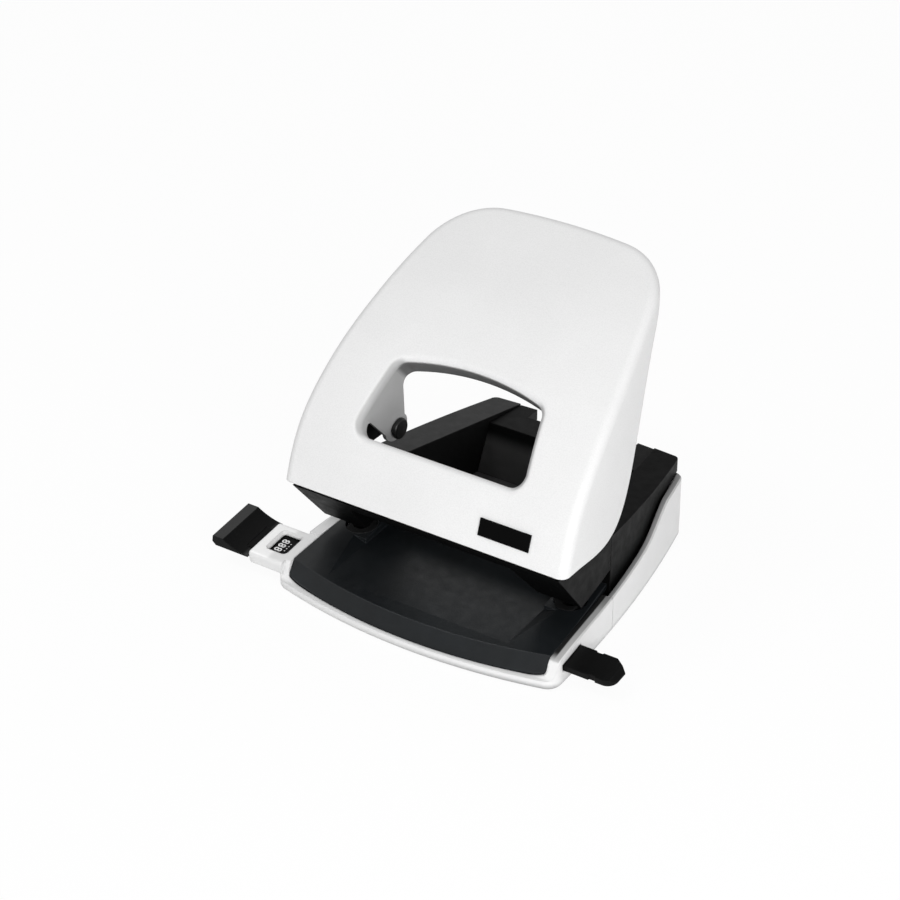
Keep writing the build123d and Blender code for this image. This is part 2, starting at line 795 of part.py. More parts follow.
# Well between the arms, with the rear cross piece and its notch
with BuildPart() as well_tray:
    with BuildSketch() as well_plan:
        body_face(well_plan, 0)
    extrude(amount=reach)
    with BuildSketch():
        with BuildLine():
            Polyline(
                (-arm_inner_front + part_gap, slot_end_y),
                (arm_inner_front - part_gap, slot_end_y),
                (arm_inner_rear - part_gap, arm_rear_y + 6.0),
                (-arm_inner_rear + part_gap, arm_rear_y + 6.0),
                close=True,
            )
        make_face()
    extrude(amount=reach, mode=Mode.INTERSECT)
    with BuildSketch(Plane.YZ):
        with BuildLine():
            Polyline(
                (slot_end_y, well_floor_z - well_skin),
                (slot_end_y, well_front_z),
                (slot_end_y + well_skin, well_front_z),
                (slot_end_y + well_skin, well_floor_z),
                (well_rear_y - 6.0, well_floor_z),
                (well_rear_y, arm_rear_z),
                (arm_rear_y + 6.0, arm_rear_z),
                (arm_rear_y + 6.0, rim_rear_z + 0.3),
                (well_rear_y + well_skin + 0.4, rim_rear_z + 0.3),
                (well_rear_y - 6.0 + well_skin, well_floor_z - well_skin),
                close=True,
            )
        make_face()
    extrude(amount=reach, both=True, mode=Mode.INTERSECT)
    with BuildSketch():
        with Locations((0, arm_rear_y - notch_depth + arm_rear_bow + reach / 2)):
            Rectangle(2 * notch_half, reach)
    extrude(amount=reach, mode=Mode.SUBTRACT)
well_tray.part.label = "well_tray"
export_step(well_tray.part, "parts/well_tray.step")

# Steel side frames: C-shaped plates that carry the pivot axle
frame_back_y = -0.4
frame_low_z = 6.4
frame_fore = 8.0
frame_under = table_t + 0.3
frame_over = slot_h + foot_floor + 0.2
pivot_boss_r = 4.4
with BuildPart() as right_side_frame:
    with BuildSketch(Plane.YZ.offset(frame_x)):
        with BuildLine():
            web_y = slot_end_y + arm_skin + 0.4
            Polyline(
                (punch_y - frame_fore, frame_low_z),
                (frame_back_y, frame_low_z),
                (frame_back_y, guide_top_z - 0.3),
                (punch_y - 6.0, guide_top_z - 0.3),
                (pivot_y + pivot_boss_r, pivot_z),
                (pivot_y, pivot_z),
                (pivot_y + 0.4, pivot_z - pivot_boss_r),
                (jaw_low_y + wall_shift_y * 0.7, table_z(jaw_low_y) + frame_over),
                (web_y, table_z(web_y) + frame_over),
                (web_y, table_z(web_y) - frame_under),
                (punch_y - frame_fore, table_z(punch_y - frame_fore) - frame_under),
                close=True,
            )
        make_face()
        with Locations((pivot_y, pivot_z)):
            Circle(pivot_boss_r)
        with Locations((pivot_y, pivot_z)):
            Circle(axle_d / 2, mode=Mode.SUBTRACT)
    extrude(amount=frame_t)
right_side_frame.part.label = "right_side_frame"
export_step(right_side_frame.part, "parts/right_side_frame.step")

with BuildPart() as left_side_frame:
    add(mirror(right_side_frame.part, about=Plane.YZ))
left_side_frame.part.label = "left_side_frame"
export_step(left_side_frame.part, "parts/left_side_frame.step")

# Guide blocks that hold the punches upright inside the feet
with BuildPart() as right_guide_block:
    with BuildSketch(Plane.YZ.offset(block_inner_x)):
        with BuildLine():
            Polyline(
                (block_front_y, table_z(block_front_y) + slot_h + foot_floor),
                (block_back_y, table_z(block_back_y) + slot_h + foot_floor),
                (block_back_y, guide_top_z),
                (block_front_y, guide_top_z),
                close=True,
            )
        make_face()
    extrude(amount=frame_x - block_inner_x)
    with BuildSketch():
        with Locations((punch_x, punch_y)):
            Circle(hole_d / 2 + pin_gap)
    extrude(amount=reach, mode=Mode.SUBTRACT)
right_guide_block.part.label = "right_guide_block"
export_step(right_guide_block.part, "parts/right_guide_block.step")

with BuildPart() as left_guide_block:
    add(mirror(right_guide_block.part, about=Plane.YZ))
left_guide_block.part.label = "left_guide_block"
export_step(left_guide_block.part, "parts/left_guide_block.step")

# Dies under the table, with a collar that comes up flush with it
with BuildPart() as right_die:
    with BuildSketch(Plane.YZ.offset(block_inner_x)):
        with BuildLine():
            Polyline(
                (die_front_y, frame_low_z),
                (die_back_y, frame_low_z),
                (die_back_y, table_z(die_back_y) - table_t),
                (die_front_y, table_z(die_front_y) - table_t),
                close=True,
            )
        make_face()
    extrude(amount=frame_x - block_inner_x)
    with BuildSketch(Plane.XY.offset(frame_low_z)):
        with Locations((punch_x, punch_y)):
            Circle(die_collar_r)
    extrude(amount=wall_max)
    with BuildSketch(Plane.YZ):
        with BuildLine():
            Polyline(
                (-reach, table_z(-reach)),
                (reach, table_z(reach)),
                (reach, reach),
                (-reach, reach),
                close=True,
            )
        make_face()
    extrude(amount=reach, both=True, mode=Mode.SUBTRACT)
    with BuildSketch(Plane.YZ.offset(frame_x)):
        Rectangle(reach, reach)
    extrude(amount=reach, mode=Mode.SUBTRACT)
    with BuildSketch():
        with Locations((punch_x, punch_y)):
            Circle(hole_d / 2 + pin_gap)
    extrude(amount=reach, mode=Mode.SUBTRACT)
right_die.part.label = "right_die"
export_step(right_die.part, "parts/right_die.step")

with BuildPart() as left_die:
    add(mirror(right_die.part, about=Plane.YZ))
left_die.part.label = "left_die"
export_step(left_die.part, "parts/left_die.step")

# Pivot axle and the two clips that keep it in the side frames
clip_t = 0.8
axle_half = frame_x + frame_t + clip_t + 0.8
with BuildPart() as pivot_axle:
    with BuildSketch(Plane.YZ):
        with Locations((pivot_y, pivot_z)):
            Circle(axle_d / 2)
    extrude(amount=axle_half, both=True)
pivot_axle.part.label = "pivot_axle"
export_step(pivot_axle.part, "parts/pivot_axle.step")

with BuildPart() as right_axle_clip:
    with BuildSketch(Plane.YZ.offset(frame_x + frame_t)):
        with Locations((pivot_y, pivot_z)):
            Circle(axle_d / 2 + 1.4)
            Circle(axle_d / 2, mode=Mode.SUBTRACT)
    extrude(amount=clip_t)
right_axle_clip.part.label = "right_axle_clip"
export_step(right_axle_clip.part, "parts/right_axle_clip.step")

with BuildPart() as left_axle_clip:
    add(mirror(right_axle_clip.part, about=Plane.YZ))
left_axle_clip.part.label = "left_axle_clip"
export_step(left_axle_clip.part, "parts/left_axle_clip.step")


def face_points(inset):
    """Points of the handle's front profile, from below its front edge to its top, moved in."""
    run_y = handle_top_y - handle_front_y
    run_z = handle_top_z - handle_front_z
    points = [(handle_front_y - 0.05 * run_y, handle_front_z - 0.22 * run_z), (handle_front_y, handle_front_z)]
    for part_y, part_z in face_fractions:
        points.append((handle_front_y + part_y * run_y, handle_front_z + part_z * run_z))
    points.append((handle_rear_y + 6.0, handle_top_z + 4.2))
    moved = []
    for i, (y, z) in enumerate(points):
        before = points[max(i - 1, 0)]
        after = points[min(i + 1, len(points) - 1)]
        step = math.hypot(after[0] - before[0], after[1] - before[1])
        moved.append((y + inset * (after[1] - before[1]) / step, z - inset * (after[0] - before[0]) / step))
    return moved


def handle_plan(inset):
    """Draw the handle's plan: bowed sides that draw in towards the rear."""
    front_y = handle_front_y
    front_half = handle_front_half - inset
    rear_half = handle_rear_half - inset
    rear_y = handle_rear_y - inset
    side_half = (front_half + rear_half) / 2 + handle_side_bow
    side_y = (front_y + rear_y) / 2
    ahead_y = front_y - 20.0
    with BuildLine() as outline:
        ThreePointArc((front_half, front_y), (side_half, side_y), (rear_half, rear_y))
        ThreePointArc((rear_half, rear_y), (0, rear_y + handle_rear_bow), (-rear_half, rear_y))
        ThreePointArc((-rear_half, rear_y), (-side_half, side_y), (-front_half, front_y))
        Polyline((-front_half, front_y), (-front_half, ahead_y), (front_half, ahead_y), (front_half, front_y))
    make_face(outline.edges())


# Full outer and inner shapes of the handle's hood
with BuildPart() as hood_outer:
    with BuildSketch(Plane.YZ.offset(-reach / 2)):
        outer_points = face_points(0)
        with BuildLine():
            outer_face = Spline(*outer_points)
            Polyline(
                outer_face @ 1,
                (outer_points[-1][0], outer_points[0][1]),
                outer_face @ 0,
            )
        make_face()
    extrude(amount=reach)
    with BuildSketch() as outer_plan:
        handle_plan(0)
        fillet(outer_plan.vertices().group_by(Axis.Y)[-1], radius=handle_corner_r)
    extrude(amount=reach, mode=Mode.INTERSECT)
    outer_top = hood_outer.faces().sort_by(Axis.Z)[-1]
    fillet(outer_top.edges().sort_by(Axis.Z)[1:], radius=handle_edge_r)

with BuildPart() as hood_inner:
    with BuildSketch(Plane.YZ.offset(-reach / 2)):
        inner_points = face_points(sheet_t)
        with BuildLine():
            inner_face = Spline(*inner_points)
            Polyline(
                inner_face @ 1,
                (inner_points[-1][0], inner_points[0][1]),
                inner_face @ 0,
            )
        make_face()
    extrude(amount=reach)
    with BuildSketch() as inner_plan:
        handle_plan(sheet_t)
        fillet(inner_plan.vertices().group_by(Axis.Y)[-1], radius=handle_corner_r - sheet_t)
    extrude(amount=reach, mode=Mode.INTERSECT)
    inner_top = hood_inner.faces().sort_by(Axis.Z)[-1]
    fillet(inner_top.edges().sort_by(Axis.Z)[1:], radius=handle_edge_r - sheet_t)

# Space below and behind the hood's edge
skirt_low_z = handle_front_z - 2.4
with BuildPart() as below_hood:
    with BuildSketch(Plane.YZ):
        with BuildLine():
            edge_start = (handle_front_y - 6.0, handle_front_z)
            edge = Spline(
                (handle_front_y + 4.4, handle_front_z - 0.1),
                (drive_y - 16.0, skirt_low_z + 1.2),
                (drive_y - 7.0, skirt_low_z),
                (drive_y, skirt_low_z + 0.1),
                (drive_y + 6.9, skirt_low_z + 2.3),
                (drive_y + 14.9, skirt_low_z + 10.4),
                (drive_y + 21.4, skirt_low_z + 23.3),
                (drive_y + 30.3, skirt_low_z + 43.3),
                (drive_y + 36.8, skirt_low_z + 54.6),
                (drive_y + 42.5, skirt_low_z + 61.2),
                (handle_top_y, skirt_low_z + 64.2),
            )
            Polyline(
                edge @ 1,
                (handle_rear_y + reach, skirt_low_z + 64.2),
                (handle_rear_y + reach, 0),
                (edge_start[0], 0),
                edge_start,
                edge @ 0,
            )
        make_face()
    extrude(amount=reach / 2, both=True)

# Plane of the window, and its outline with rounded corners
tilt_cos = math.cos(math.radians(window_tilt))
tilt_sin = math.sin(math.radians(window_tilt))
window_plane = Plane(
    origin=(0, window_y, window_z), x_dir=(1, 0, 0), z_dir=(0, -tilt_sin, tilt_cos)
)
drive_run = (drive_y - window_y) * tilt_cos + (drive_z - window_z) * tilt_sin
drive_depth = (drive_y - window_y) * tilt_sin - (drive_z - window_z) * tilt_cos
ear_x = window_low_half + (window_high_half - window_low_half) * drive_run / window_side


def window_face(sketch):
    """Draw the window's outline on its own plane."""
    with BuildLine() as outline:
        Polyline(
            (-window_high_half, window_side),
            (-window_low_half, 0),
            (window_low_half, 0),
            (window_high_half, window_side),
        )
        ThreePointArc((window_high_half, window_side), (0, window_arch), (-window_high_half, window_side))
    make_face(outline.edges())
    fillet(sketch.vertices().sort_by(Axis.Y)[:2], radius=window_low_r)
    fillet(sketch.vertices().sort_by(Axis.Y)[-2:], radius=window_high_r)


def ear_point(along, depth):
    """Y and Z of a place on an ear: along the window's side from its lower edge, and in from the window."""
    y = window_y + along * tilt_cos + depth * tilt_sin
    z = window_z + along * tilt_sin - depth * tilt_cos
    return y, z


# Space inside the hood, less a rim bent in all round the window
rim_depth = drive_depth + 2 * ear_pin_r
with BuildPart() as hood_space:
    add(hood_inner.part)
    with BuildSketch(window_plane.offset(4.0)) as rim_outline:
        window_face(rim_outline)
        offset(amount=sheet_t)
    extrude(amount=-rim_depth, mode=Mode.SUBTRACT)

# What is cut from the rim, so that a shallow collar, the ears and the flange are left
with BuildPart() as rim_trim:
    add(hood_inner.part)
    with BuildSketch(Plane.YZ) as ear_side:
        with BuildLine():
            Polyline(
                ear_point(-4.0, -4.0),
                ear_point(window_arch + 4.0, -4.0),
                ear_point(window_arch + 4.0, flange_depth),
                ear_point(flange_foot, flange_depth),
                ear_point(drive_run + ear_pin_r * 0.8, drive_depth + ear_pin_r * 0.24),
                ear_point(drive_run - ear_pin_r * 0.86, drive_depth - ear_pin_r * 0.48),
                ear_point(ear_root, collar_depth),
                ear_point(-4.0, collar_depth),
                close=True,
            )
        make_face()
        inner_corner = ear_side.vertices().sort_by_distance((*ear_point(flange_foot, flange_depth), 0))[0]
        fillet(inner_corner, radius=ear_bend_r)
        notch_corner = ear_side.vertices().sort_by_distance((*ear_point(ear_root, collar_depth), 0))[0]
        fillet(notch_corner, radius=collar_r)
        with Locations((drive_y, drive_z)):
            Circle(ear_pin_r)
    extrude(amount=reach, both=True, mode=Mode.SUBTRACT)

# Handle: one bent steel sheet with its window, ears and flange
with BuildPart() as handle:
    add(hood_outer.part)
    add(hood_space.part, mode=Mode.SUBTRACT)
    add(below_hood.part, mode=Mode.SUBTRACT)
    with BuildSketch(Plane.XZ.offset(-handle_front_y - 4.4)):
        with BuildLine():
            ThreePointArc(
                (-handle_front_half, handle_front_z),
                (0, handle_front_z - handle_edge_bow),
                (handle_front_half, handle_front_z),
            )
            Polyline(
                (handle_front_half, handle_front_z),
                (handle_front_half, 0),
                (-handle_front_half, 0),
                (-handle_front_half, handle_front_z),
            )
        make_face()
    extrude(amount=reach / 4, mode=Mode.SUBTRACT)
    with BuildSketch(window_plane) as window_cut:
        window_face(window_cut)
    extrude(amount=rim_depth, both=True, mode=Mode.SUBTRACT)
    front_face = handle.faces().sort_by(SortBy.AREA)[-1]
    fillet(front_face.inner_wires()[0].edges(), radius=window_bend_r)
    add(rim_trim.part, mode=Mode.SUBTRACT)
    with BuildSketch(Plane.YZ):
        with Locations((drive_y, drive_z)):
            Circle(drive_d / 2)
    extrude(amount=window_low_half + 4.0, both=True, mode=Mode.SUBTRACT)
handle.part.label = "handle"
export_step(handle.part, "parts/handle.step")

# Plain plate on the handle's front, with nothing written on it
badge_side = 23.1
badge_x = handle_front_half - badge_side
badge_w = 18.2
badge_h = 5.6
badge_t = 0.6
badge_z = 45.0
badge_points = face_points(0)
badge_low = badge_points[1]
badge_high = badge_points[2]
badge_share = (badge_z - badge_low[1]) / (badge_high[1] - badge_low[1])
badge_y = badge_low[0] + badge_share * (badge_high[0] - badge_low[0])
badge_lean = math.hypot(badge_high[0] - badge_low[0], badge_high[1] - badge_low[1])
badge_plane = Plane(
    origin=(badge_x, badge_y, badge_z),
    x_dir=(1, 0, 0),
    z_dir=(0, -(badge_high[1] - badge_low[1]) / badge_lean, (badge_high[0] - badge_low[0]) / badge_lean),
)
with BuildPart() as badge_plate:
    with BuildSketch(badge_plane.offset(-badge_t)):
        Rectangle(badge_w, badge_h)
    extrude(amount=2 * badge_t)
    add(hood_outer.part, mode=Mode.SUBTRACT)
badge_plate.part.label = "badge_plate"
export_step(badge_plate.part, "parts/badge_plate.step")

# Lugs inside the handle that turn on the pivot axle
lug_x = 21.0
lug_t = 2.2
lug_run = 20.0
lug_rise = 15.5
with BuildPart() as right_hinge_lug:
    with BuildSketch(Plane.YZ.offset(lug_x)):
        with BuildLine():
            Polyline(
                (pivot_y - lug_run, handle_front_z + 3.0),
                (pivot_y - pivot_boss_r, pivot_z + 1.0),
                (pivot_y + pivot_boss_r, pivot_z),
                (pivot_y + 2.0, pivot_z + lug_rise),
                (pivot_y - lug_run, pivot_z + lug_rise + 2.0),
                close=True,
            )
        make_face()
        with Locations((pivot_y, pivot_z)):
            Circle(pivot_boss_r)
        with Locations((pivot_y, pivot_z)):
            Circle(axle_d / 2 + pin_gap, mode=Mode.SUBTRACT)
    extrude(amount=lug_t)
    add(hood_inner.part, mode=Mode.INTERSECT)
right_hinge_lug.part.label = "right_hinge_lug"
export_step(right_hinge_lug.part, "parts/right_hinge_lug.step")

with BuildPart() as left_hinge_lug:
    add(mirror(right_hinge_lug.part, about=Plane.YZ))
left_hinge_lug.part.label = "left_hinge_lug"
export_step(left_hinge_lug.part, "parts/left_hinge_lug.step")

# Drive pins with a round head on the window side of each ear
head_r = 3.5
head_t = 1.2
pin_head_x = ear_x - 0.9 - head_t
pin_end_x = punch_x + yoke_half + 0.4
with BuildPart() as right_drive_pin:
    with BuildSketch(Plane.YZ.offset(pin_head_x)):
        with Locations((drive_y, drive_z)):
            Circle(head_r)
    extrude(amount=head_t)
    fillet(right_drive_pin.faces().sort_by(Axis.X)[0].edges(), radius=0.5)
    with BuildSketch(Plane.YZ.offset(pin_head_x + head_t)):
        with Locations((drive_y, drive_z)):
            Circle(drive_d / 2)
    extrude(amount=pin_end_x - pin_head_x - head_t)
right_drive_pin.part.label = "right_drive_pin"
export_step(right_drive_pin.part, "parts/right_drive_pin.step")

with BuildPart() as left_drive_pin:
    add(mirror(right_drive_pin.part, about=Plane.YZ))
left_drive_pin.part.label = "left_drive_pin"
export_step(left_drive_pin.part, "parts/left_drive_pin.step")

# Travel of the drive pin over the handle's swing, and the punch's stroke that follows it
swing = math.radians(press_deg)
arm_y = drive_y - pivot_y
arm_z = drive_z - pivot_z
pin_run = arm_y * (math.cos(swing) - 1) + arm_z * math.sin(swing)
stroke = arm_y * math.sin(swing) + arm_z * (1 - math.cos(swing))
half = swing / 2
half_drop = arm_y * math.sin(half) + arm_z * (1 - math.cos(half))
lag = stroke / 2 - half_drop
print("stroke %.3f mm, metres per radian %.5f, pin run %.2f mm, lag %.3f mm" % (stroke, -stroke / swing / 1000, pin_run, lag))

# Punches: hollow-ended rods that fit the guide blocks and dies
punch_low_z = table_z(punch_y) + slot_h + 0.4
punch_seat = 4.0
with BuildPart() as right_punch:
    with BuildSketch(Plane.XY.offset(punch_low_z)):
        with Locations((punch_x, punch_y)):
            Circle(hole_d / 2)
    extrude(amount=yoke_low_z + punch_seat - punch_low_z)
    with BuildSketch(Plane.YZ):
        with Locations((punch_y, punch_low_z)):
            Circle(1.5)
    extrude(amount=reach, mode=Mode.SUBTRACT)
right_punch.part.label = "right_punch"
export_step(right_punch.part, "parts/right_punch.step")

with BuildPart() as left_punch:
    add(mirror(right_punch.part, about=Plane.YZ))
left_punch.part.label = "left_punch"
export_step(left_punch.part, "parts/left_punch.step")

# Yokes: blocks on the punches with a long slot for the drive pin
yoke_front_y = punch_y - 4.4
slot_front_y = drive_y - drive_d / 2 - 0.4
slot_back_y = drive_y + pin_run + drive_d / 2 + 0.4
yoke_back_y = slot_back_y + 2.0
slot_high = drive_z + drive_d / 2 + yoke_gap + lag / 2
slot_low = drive_z - drive_d / 2 - yoke_gap + lag / 2
with BuildPart() as right_yoke:
    with BuildSketch(Plane.YZ.offset(punch_x - yoke_half)):
        with Locations(((yoke_front_y + yoke_back_y) / 2, (yoke_low_z + yoke_high_z) / 2)):
            RectangleRounded(yoke_back_y - yoke_front_y, yoke_high_z - yoke_low_z, 1.5)
        with Locations(((slot_front_y + slot_back_y) / 2, (slot_low + slot_high) / 2)):
            SlotOverall(slot_back_y - slot_front_y, slot_high - slot_low, mode=Mode.SUBTRACT)
    extrude(amount=2 * yoke_half)
    with BuildSketch(Plane.XY.offset(yoke_low_z)):
        with Locations((punch_x, punch_y)):
            Circle(hole_d / 2)
    extrude(amount=punch_seat, mode=Mode.SUBTRACT)
right_yoke.part.label = "right_yoke"
export_step(right_yoke.part, "parts/right_yoke.step")

with BuildPart() as left_yoke:
    add(mirror(right_yoke.part, about=Plane.YZ))
left_yoke.part.label = "left_yoke"
export_step(left_yoke.part, "parts/left_yoke.step")

# Return springs round the punches, each one unbroken coil on quarter-turn biarcs
coil_low = guide_top_z + spring_wire / 2
coil_high = yoke_low_z - spring_wire / 2
coil_pitch = (coil_high - coil_low) / spring_turns
steps = spring_turns * 4


def coil_point(i):
    """Point and direction on the coil after i quarter turns."""
    angle = i * math.pi / 2
    point = Vector(
        punch_x + spring_r * math.cos(angle),
        punch_y + spring_r * math.sin(angle),
        coil_low + coil_pitch * i / 4,
    )
    along = Vector(-spring_r * math.sin(angle), spring_r * math.cos(angle), coil_pitch / (2 * math.pi))
    return point, along.normalized()


with BuildPart() as right_spring:
    with BuildLine() as coil:
        for i in range(steps):
            start, start_dir = coil_point(i)
            end, end_dir = coil_point(i + 1)
            chord = end - start
            both = start_dir + end_dir
            spread = 2 * (1 - start_dir.dot(end_dir))
            pull = chord.dot(both)
            reach_len = (-pull + math.sqrt(pull * pull + spread * chord.dot(chord))) / spread
            leave = start + start_dir * reach_len
            arrive = end - end_dir * reach_len
            middle = (leave + arrive) * 0.5
            TangentArc(start, middle, tangent=start_dir)
            TangentArc(middle, end, tangent=(arrive - leave).normalized())
    first_point, first_dir = coil_point(0)
    with BuildSketch(Plane(origin=first_point, z_dir=first_dir)):
        Circle(spring_wire / 2)
    sweep(path=coil.line)
right_spring.part.label = "right_spring"
export_step(right_spring.part, "parts/right_spring.step")

with BuildPart() as left_spring:
    add(right_spring.part.moved(Location((-hole_pitch, 0, 0))))
left_spring.part.label = "left_spring"
export_step(left_spring.part, "parts/left_spring.step")

samples = [coil_point(n / 6)[0] for n in range(steps * 6 + 1)]
near = min(
    (samples[a] - samples[b]).length
    for a in range(len(samples))
    for b in range(a + 15, len(samples))
)
print("least gap of the coil to itself %.2f mm" % (near - spring_wire))
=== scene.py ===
import math

import bmesh
import bpy
from mathutils import Matrix, Vector

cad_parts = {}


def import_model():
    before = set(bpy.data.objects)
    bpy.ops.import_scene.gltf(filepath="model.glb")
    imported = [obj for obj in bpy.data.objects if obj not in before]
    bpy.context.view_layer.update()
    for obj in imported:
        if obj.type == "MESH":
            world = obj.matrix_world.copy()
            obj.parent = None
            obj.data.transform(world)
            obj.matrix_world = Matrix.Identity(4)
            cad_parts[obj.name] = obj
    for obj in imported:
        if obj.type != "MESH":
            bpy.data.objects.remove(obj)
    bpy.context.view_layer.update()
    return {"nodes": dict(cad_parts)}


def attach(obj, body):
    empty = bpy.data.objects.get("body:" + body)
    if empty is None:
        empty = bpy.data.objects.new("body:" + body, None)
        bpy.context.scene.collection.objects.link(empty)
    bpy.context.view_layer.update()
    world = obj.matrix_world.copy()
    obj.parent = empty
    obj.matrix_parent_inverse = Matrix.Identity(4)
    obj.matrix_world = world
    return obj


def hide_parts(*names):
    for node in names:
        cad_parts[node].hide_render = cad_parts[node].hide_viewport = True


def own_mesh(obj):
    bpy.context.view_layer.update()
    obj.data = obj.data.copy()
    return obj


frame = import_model()
nodes = frame["nodes"]
MM = 0.001

# The camera stands where the photograph was taken from, in the part's own frame.
camera_place = Vector((413.99, -642.03, 501.52)) * MM
camera_target = Vector((-54.0, 53.1, 0.0)) * MM
camera_lens = 112.0
camera_sensor = 36.0

# Noise has most of its values between these two.
noise_low = 0.3
noise_high = 0.7

# The base's outline: its half width at the front and how that falls off over its depth.
outline_front_y = -48.7 * MM
outline_depth = 101.3 * MM
outline_half = 53.0 * MM
outline_draw = 2.4 * MM
outline_bow = 11.6 * MM

# The top of the guide bar, which lies below the sloping table and carries the printed marks.
table_edge_y = -50.0 * MM
table_edge_z = 9.0 * MM
bar_tilt = math.radians(7.0)
bar_below = 2.35 * MM
bar_y = -38.8 * MM
bar_z = table_edge_z + (bar_y - table_edge_y) * math.tan(bar_tilt) - bar_below / math.cos(bar_tilt)

# The marks on the bar: the first shows in the housing's sight opening at rest, the others on the slide.
mark_x = -58.2 * MM
mark_steps = (("888", 0.0), ("210", 36.5 * MM), ("297", 80.0 * MM))
digit_size = 3.8 * MM
digit_spacing = 1.15
digit_weight = 0.06 * MM
digit_across = 0.3 * MM
ink_height = 0.02 * MM
dot_count = 4
dot_after = 2.5 * MM
dot_start = -1.6 * MM
dot_pitch = 1.23 * MM
dot_foot_r = 0.26 * MM
dot_top_r = 0.22 * MM
dot_depth = 0.03 * MM

# Studio light.
lamp_depth = 0.25
room_light = 0.5
floor_drop = 0.2 * MM
floor_reach = 6.0
floor_glow = 0.94


def socket(node, name, value):
    node.inputs[name].default_value = value


class Shader:
    """A node material that is put together step by step."""

    def __init__(self, name):
        self.material = bpy.data.materials.new(name)
        self.material.use_nodes = True
        self.tree = self.material.node_tree
        self.tree.nodes.clear()
        self.output = self.add("ShaderNodeOutputMaterial")
        self.bsdf = self.add("ShaderNodeBsdfPrincipled")
        self.link(self.bsdf.outputs["BSDF"], self.output.inputs["Surface"])
        coordinates = self.add("ShaderNodeTexCoord")
        self.place = coordinates.outputs["Object"]
        self.facing = coordinates.outputs["Normal"]

    def add(self, kind, **settings):
        node = self.tree.nodes.new(kind)
        for key, value in settings.items():
            setattr(node, key, value)
        return node

    def link(self, source, target):
        self.tree.links.new(source, target)

    def noise(self, scale, detail=3.0, rough=0.55, stretch=None):
        """Noise with this many features per metre, drawn out along an axis where stretch says so."""
        place = self.place
        if stretch:
            mapping = self.add("ShaderNodeMapping")
            socket(mapping, "Scale", stretch)
            self.link(place, mapping.inputs["Vector"])
            place = mapping.outputs["Vector"]
        node = self.add("ShaderNodeTexNoise")
        self.link(place, node.inputs["Vector"])
        socket(node, "Scale", scale)
        socket(node, "Detail", detail)
        socket(node, "Roughness", rough)
        return node.outputs["Fac"]

    def ramp(self, factor, stops):
        """A colour for each place of the factor."""
        node = self.add("ShaderNodeValToRGB")
        elements = node.color_ramp.elements
        while len(elements) < len(stops):
            elements.new(0.5)
        for element, (place, colour) in zip(elements, stops):
            element.position = place
            element.color = (*colour, 1.0)
        self.link(factor, node.inputs["Fac"])
        return node.outputs["Color"]

    def mottle(self, factor, dark, light):
        """A colour that drifts between two with a noise."""
        return self.ramp(factor, [(noise_low, dark), (noise_high, light)])

    def spread(self, factor, low, high):
        """A noise taken to the range from low to high."""
        node = self.add("ShaderNodeMapRange")
        self.link(factor, node.inputs["Value"])
        socket(node, "From Min", noise_low)
        socket(node, "From Max", noise_high)
        socket(node, "To Min", low)
        socket(node, "To Max", high)
        return node.outputs["Result"]

    def mix(self, factor, first, second, blend="MIX"):
        """Two colours mixed by a factor. Each of the three is a value or another node's output."""
        node = self.add("ShaderNodeMix", data_type="RGBA", blend_type=blend)
        for value, name in ((factor, 0), (first, 6), (second, 7)):
            if isinstance(value, (int, float)):
                socket(node, name, value)
            elif isinstance(value, tuple):
                socket(node, name, (*value, 1.0))
            else:
                self.link(value, node.inputs[name])
        return node.outputs[2]

    def bump(self, height, distance, strength, below=None):
        """A normal with a fine relief, on top of the normal below."""
        node = self.add("ShaderNodeBump")
        socket(node, "Distance", distance)
        socket(node, "Strength", strength)
        self.link(height, node.inputs["Height"])
        if below is not None:
            self.link(below, node.inputs["Normal"])
        return node.outputs["Normal"]

    def math(self, operation, first, second=None):
        node = self.add("ShaderNodeMath", operation=operation)
        for index, value in enumerate((first, second)):
            if isinstance(value, (int, float)):
                socket(node, index, value)
            elif value is not None:
                self.link(value, node.inputs[index])
        return node.outputs[0]

    def both(self, first, second):
        """A mask that holds where both masks do."""
        return self.math("MULTIPLY", first, second)

    def parts(self, vector):
        """The X, Y and Z of a vector."""
        node = self.add("ShaderNodeSeparateXYZ")
        self.link(vector, node.inputs[0])
        return node.outputs

    def step(self, value, low, high):
        """A soft step from 0 at low to 1 at high."""
        node = self.add("ShaderNodeMapRange", interpolation_type="SMOOTHSTEP")
        self.link(value, node.inputs["Value"])
        socket(node, "From Min", low)
        socket(node, "From Max", high)
        return node.outputs["Result"]

    def soft(self, radius):
        """A normal that rounds sharp edges off."""
        node = self.add("ShaderNodeBevel", samples=4)
        socket(node, "Radius", radius)
        return node.outputs["Normal"]

    def edges(self, radius, low, high):
        """Near 1 along sharp edges, where a paler painted highlight goes."""
        geometry = self.add("ShaderNodeNewGeometry")
        dot = self.add("ShaderNodeVectorMath", operation="DOT_PRODUCT")
        self.link(self.soft(radius), dot.inputs[0])
        self.link(geometry.outputs["Normal"], dot.inputs[1])
        node = self.add("ShaderNodeMapRange")
        self.link(dot.outputs["Value"], node.inputs["Value"])
        socket(node, "From Min", low)
        socket(node, "From Max", high)
        socket(node, "To Min", 1.0)
        socket(node, "To Max", 0.0)
        return node.outputs["Result"]

    def finish(self, colour, roughness, normal=None, **values):
        """The colour, the roughness and the relief go to the surface, with any further values of it."""
        for value, name in ((colour, "Base Color"), (roughness, "Roughness"), (normal, "Normal")):
            if isinstance(value, (int, float)):
                socket(self.bsdf, name, value)
            elif value is not None:
                self.link(value, self.bsdf.inputs[name])
        for name, value in values.items():
            socket(self.bsdf, name.replace("_", " "), value)
        return self.material


def grey(value, blue=0.0):
    """A grey with a slight tint between green and blue."""
    return (value, value * (1.0 + 0.55 * blue), value * (1.0 + blue))


